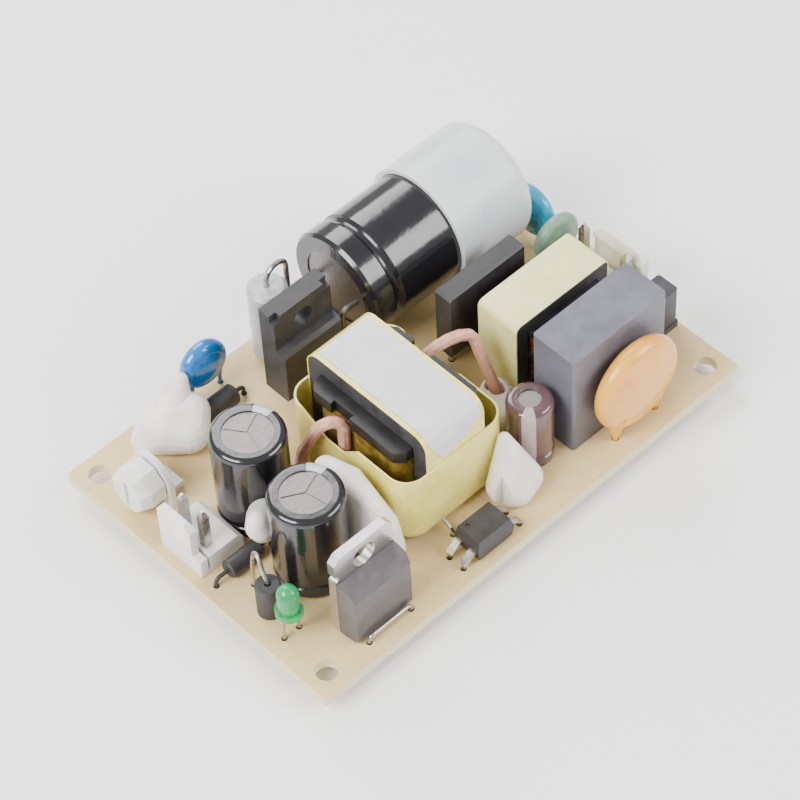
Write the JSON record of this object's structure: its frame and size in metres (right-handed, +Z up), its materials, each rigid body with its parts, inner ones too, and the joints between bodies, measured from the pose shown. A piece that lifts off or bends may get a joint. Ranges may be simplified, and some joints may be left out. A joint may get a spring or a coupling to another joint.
{
  "type": "open frame power supply",
  "caption": "Open frame switching power supply: a bare board with headers at both ends, taped transformer, line filter, lying bulk capacitor, output capacitors, rectifier and a trimmer.",
  "frame": {"origin": "centre of the four mounting holes, on the underside of the board", "axes": "+X along the board from the low-voltage output end to the mains input end, +Y across the board towards the bulk capacitor, +Z up from the component side"},
  "size_m": [0.0764, 0.0512, 0.0232],
  "materials": {
    "pcb": "matt lacquered paper laminate, tan",
    "solder": "bright solder",
    "white_nylon": "white moulded nylon",
    "ivory_nylon": "ivory moulded nylon",
    "tinned_metal": "tin plated",
    "trimmer_plastic": "white thermoplastic",
    "can_aluminium": "brushed aluminium",
    "black_sleeve": "shrunk black film",
    "brown_sleeve": "shrunk brown film",
    "black_epoxy": "moulded epoxy",
    "plated_tab": "plated copper",
    "ferrite": "sintered ferrite",
    "green_lens": "tinted clear epoxy",
    "grey_epoxy": "painted grey epoxy",
    "soft_cup": "milky soft vinyl",
    "bobbin_plastic": "black phenolic moulding",
    "copper_wire": "enamelled copper",
    "coil_tape": "taped copper coil",
    "pale_tape": "pale yellow polyester tape",
    "yellow_tape": "yellow polyester tape",
    "label": "blank white label",
    "lead_sleeve": "pinkish insulated strand",
    "grey_box": "grey moulded box",
    "orange_coat": "dipped orange epoxy",
    "blue_coat": "dipped blue epoxy",
    "teal_coat": "dipped teal epoxy",
    "green_coat": "dipped grey-green silicone",
    "fuse_case": "black moulded case",
    "silicone": "cured off-white silicone"
  },
  "bodies": {
    "supply": {"board": "pcb", "solder_joints": "solder", "output_header": "white_nylon", "output_header_posts": "tinned_metal", "trimmer_body": "trimmer_plastic", "output_cap_a_can": "can_aluminium", "output_cap_a_sleeve": "black_sleeve", "output_cap_b_can": "can_aluminium", "output_cap_b_sleeve": "black_sleeve", "rectifier_case": "black_epoxy", "rectifier_tab": "plated_tab", "rectifier_leads": "tinned_metal", "jumper_wire": "tinned_metal", "ferrite_bead": "ferrite", "bead_wire": "tinned_metal", "indicator_lens": "green_lens", "indicator_leads": "tinned_metal", "small_diode": "black_epoxy", "switch_case": "black_epoxy", "switch_leads": "tinned_metal", "standing_diode": "grey_epoxy", "standing_diode_lead": "tinned_metal", "bulk_cap_can": "can_aluminium", "bulk_cap_sleeve": "black_sleeve", "bulk_cap_cup": "soft_cup", "bridge_case": "black_epoxy", "bridge_leads": "tinned_metal", "choke_core": "ferrite", "choke_bobbin": "bobbin_plastic", "choke_windings": "copper_wire", "choke_tape": "pale_tape", "x_capacitor": "grey_box", "varistor": "orange_coat", "aux_cap_can": "can_aluminium", "aux_cap_sleeve": "brown_sleeve", "clamp_diode": "black_epoxy", "optocoupler_case": "black_epoxy", "optocoupler_pins": "tinned_metal", "transformer_core": "ferrite", "transformer_bobbin": "bobbin_plastic", "transformer_winding": "coil_tape", "transformer_core_tape": "yellow_tape", "transformer_wrap": "yellow_tape", "transformer_label": "label", "transformer_leads": "lead_sleeve", "shield_wire": "tinned_metal", "y_capacitor": "blue_coat", "snubber_capacitor": "teal_coat", "inrush_thermistor": "green_coat", "input_header": "ivory_nylon", "input_header_posts": "tinned_metal", "box_fuse": "fuse_case", "glue_corner": "silicone", "glue_bead": "silicone", "glue_teardrop": "silicone", "glue_rectifier": "silicone", "glue_choke": "silicone", "chip_parts": "black_epoxy"},
    "trimmer_rotor": {"trimmer_rotor": "trimmer_plastic"}
  },
  "joints": [
    {"name": "trimmer_turn", "type": "hinge", "parent": "supply", "child": "trimmer_rotor", "pos_m": [-0.032, 0.0146, 0.0054], "axis": [-1, 0, 0], "range_deg": [-120, 120]}
  ]
}
